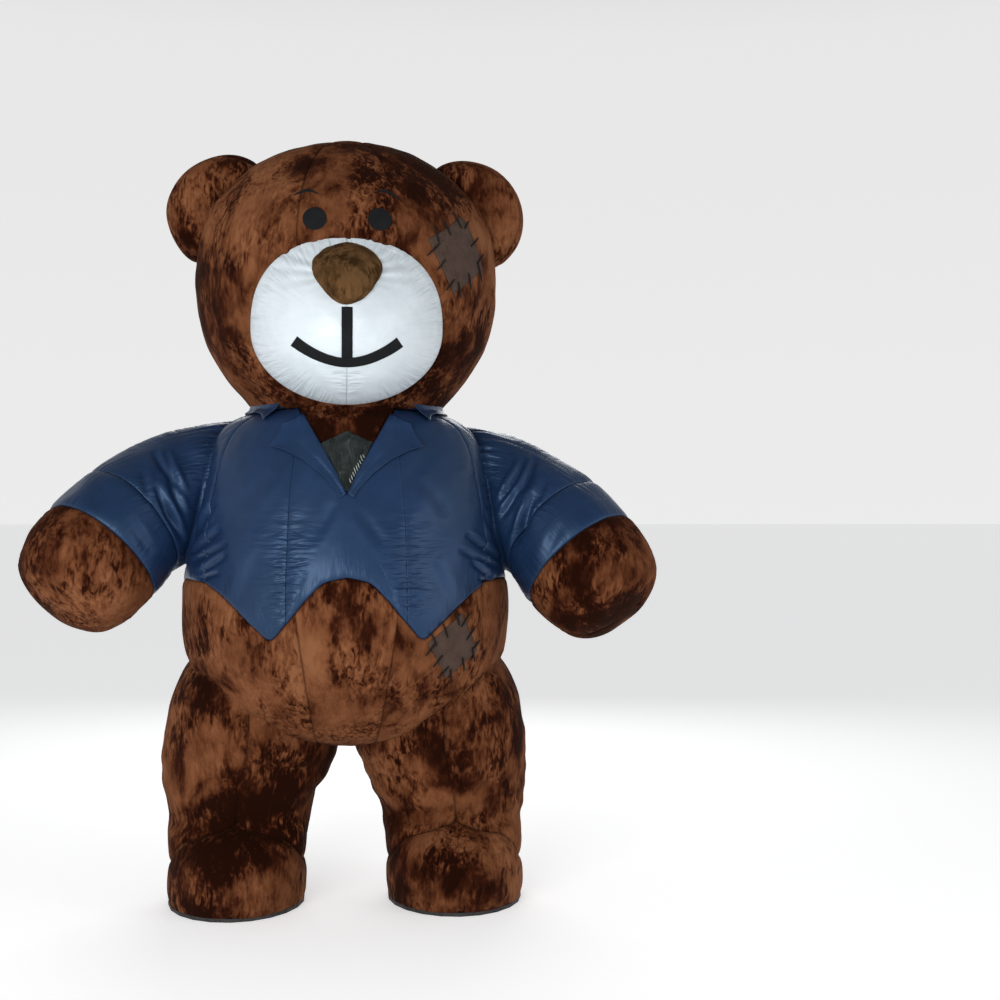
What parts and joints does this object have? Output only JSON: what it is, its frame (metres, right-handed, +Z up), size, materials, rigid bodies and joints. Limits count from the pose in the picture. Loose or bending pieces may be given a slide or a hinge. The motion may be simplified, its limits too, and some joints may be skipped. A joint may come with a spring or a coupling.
{
  "type": "inflatable bear mascot costume",
  "caption": "Standing air-filled plush bear costume with a blue satin jacket sewn in, white muzzle, patches, round ears and soled feet, hollow for a wearer.",
  "frame": {"origin": "on the floor under the middle of the costume's bounding box, between the two soles", "axes": "+Z up, -Y the way the bear faces, +X towards the bear's own left side"},
  "size_m": [2.1054, 1.2976, 2.576],
  "materials": {
    "plush": "short crushed-pile plush, mottled light and dark brown",
    "satin": "glossy navy blue satin, gathered at the seams",
    "white": "white satin",
    "nose": "olive brown short-pile plush, stuffed",
    "black": "flat black applique cloth",
    "patch": "grey brown felt",
    "tab": "light grey smooth cloth",
    "window": "dark grey clear film",
    "sole": "dark grey padded sole"
  },
  "bodies": {
    "root": {"back_placket": "satin", "belly_centre": "plush", "belly_left": "plush", "belly_right": "plush", "brow_left": "black", "brow_right": "black", "chin": "plush", "coat_tail": "satin", "collar": "satin", "cuff_left": "satin", "cuff_right": "satin", "ear_back_left": "plush", "ear_back_right": "plush", "ear_front_left": "plush", "ear_front_right": "plush", "ear_gusset_left": "plush", "ear_gusset_right": "plush", "eye_left": "black", "eye_right": "black", "foot_left": "plush", "foot_right": "plush", "forehead": "plush", "head_back": "plush", "head_rear_left": "plush", "head_rear_right": "plush", "head_side_left": "plush", "head_side_right": "plush", "jacket_back_left": "satin", "jacket_back_right": "satin", "jacket_front": "satin", "jacket_front_left": "satin", "jacket_front_right": "satin", "jacket_side_left": "satin", "jacket_side_right": "satin", "lapel_left": "satin", "lapel_right": "satin", "leg_inner_left": "plush", "leg_inner_right": "plush", "leg_outer_left": "plush", "leg_outer_right": "plush", "mouth_bar": "black", "mouth_smile": "black", "muzzle_left": "white", "muzzle_right": "white", "neck_front": "plush", "nose": "nose", "patch_belly": "patch", "patch_cheek": "patch", "paw_left": "plush", "paw_right": "plush", "seat_left": "plush", "seat_right": "plush", "sleeve_back_left": "satin", "sleeve_back_right": "satin", "sleeve_front_left": "satin", "sleeve_front_right": "satin", "sole_left": "sole", "sole_right": "sole", "tab_back": "tab", "window": "window"}
  },
  "joints": []
}
